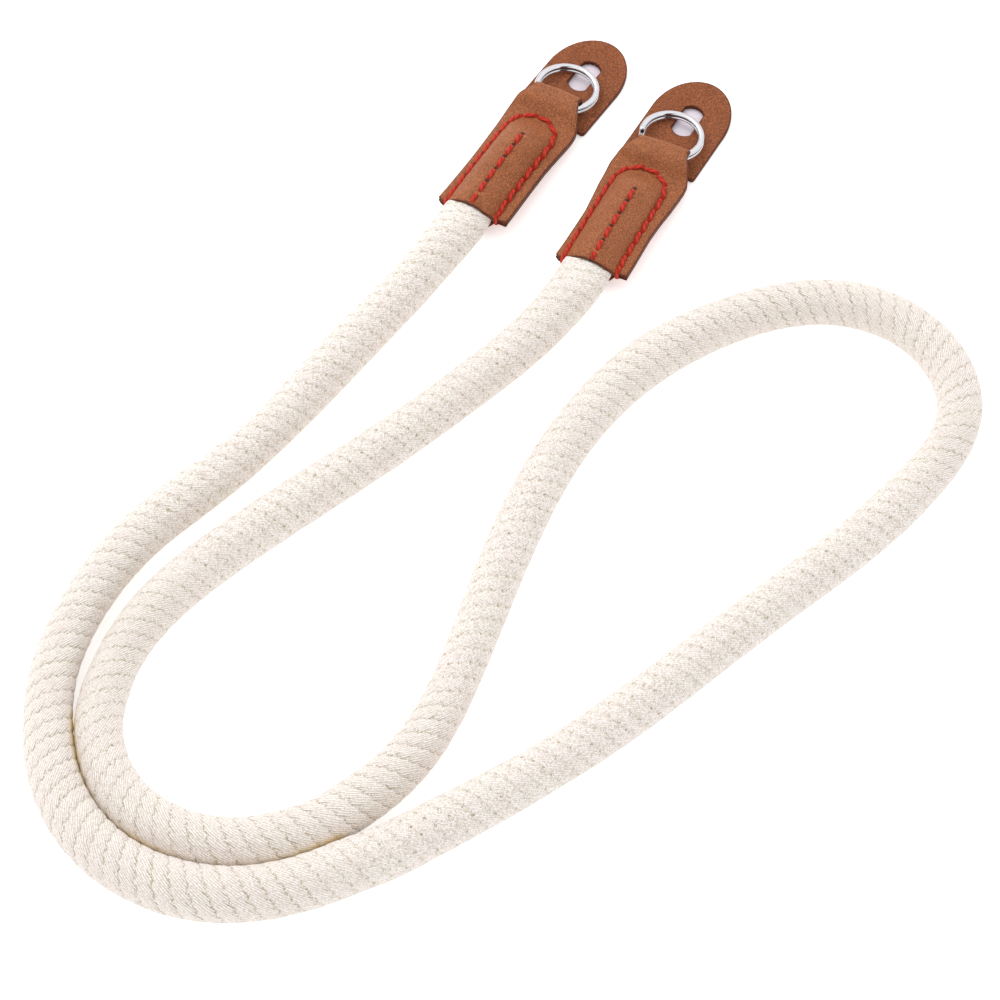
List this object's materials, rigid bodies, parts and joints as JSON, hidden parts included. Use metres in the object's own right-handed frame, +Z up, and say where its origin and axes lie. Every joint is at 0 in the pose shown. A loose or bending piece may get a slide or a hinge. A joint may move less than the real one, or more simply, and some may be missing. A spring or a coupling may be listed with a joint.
{
  "type": "camera neck strap",
  "caption": "Round braided cotton rope neck strap for a camera, laid loose in an open loop, with stitched leather ends, split rings and slotted leather ring guards.",
  "frame": {"origin": "on the surface the strap lies on, under the middle of the box round the leather ends, the guards and the split rings", "axes": "+Z up from the surface, +Y the way both leather ends point, +X from the left leather end to the right one"},
  "size_m": [0.1539, 0.2495, 0.0112],
  "materials": {
    "cotton_rope": "cream cotton, braided from twelve pairs of strands",
    "end_leather": "tan leather, fine grain, dark burnished edges",
    "guard_leather": "tan leather, matt, dark cut edges",
    "ring_steel": "bright nickel-plated steel wire",
    "red_thread": "red waxed thread, saddle-stitched"
  },
  "bodies": {
    "root": {"rope": "cotton_rope", "leather_end_left": "end_leather", "leather_end_right": "end_leather", "ring_guard_left": "guard_leather", "ring_guard_right": "guard_leather", "split_ring_left": "ring_steel", "split_ring_right": "ring_steel"}
  },
  "joints": []
}
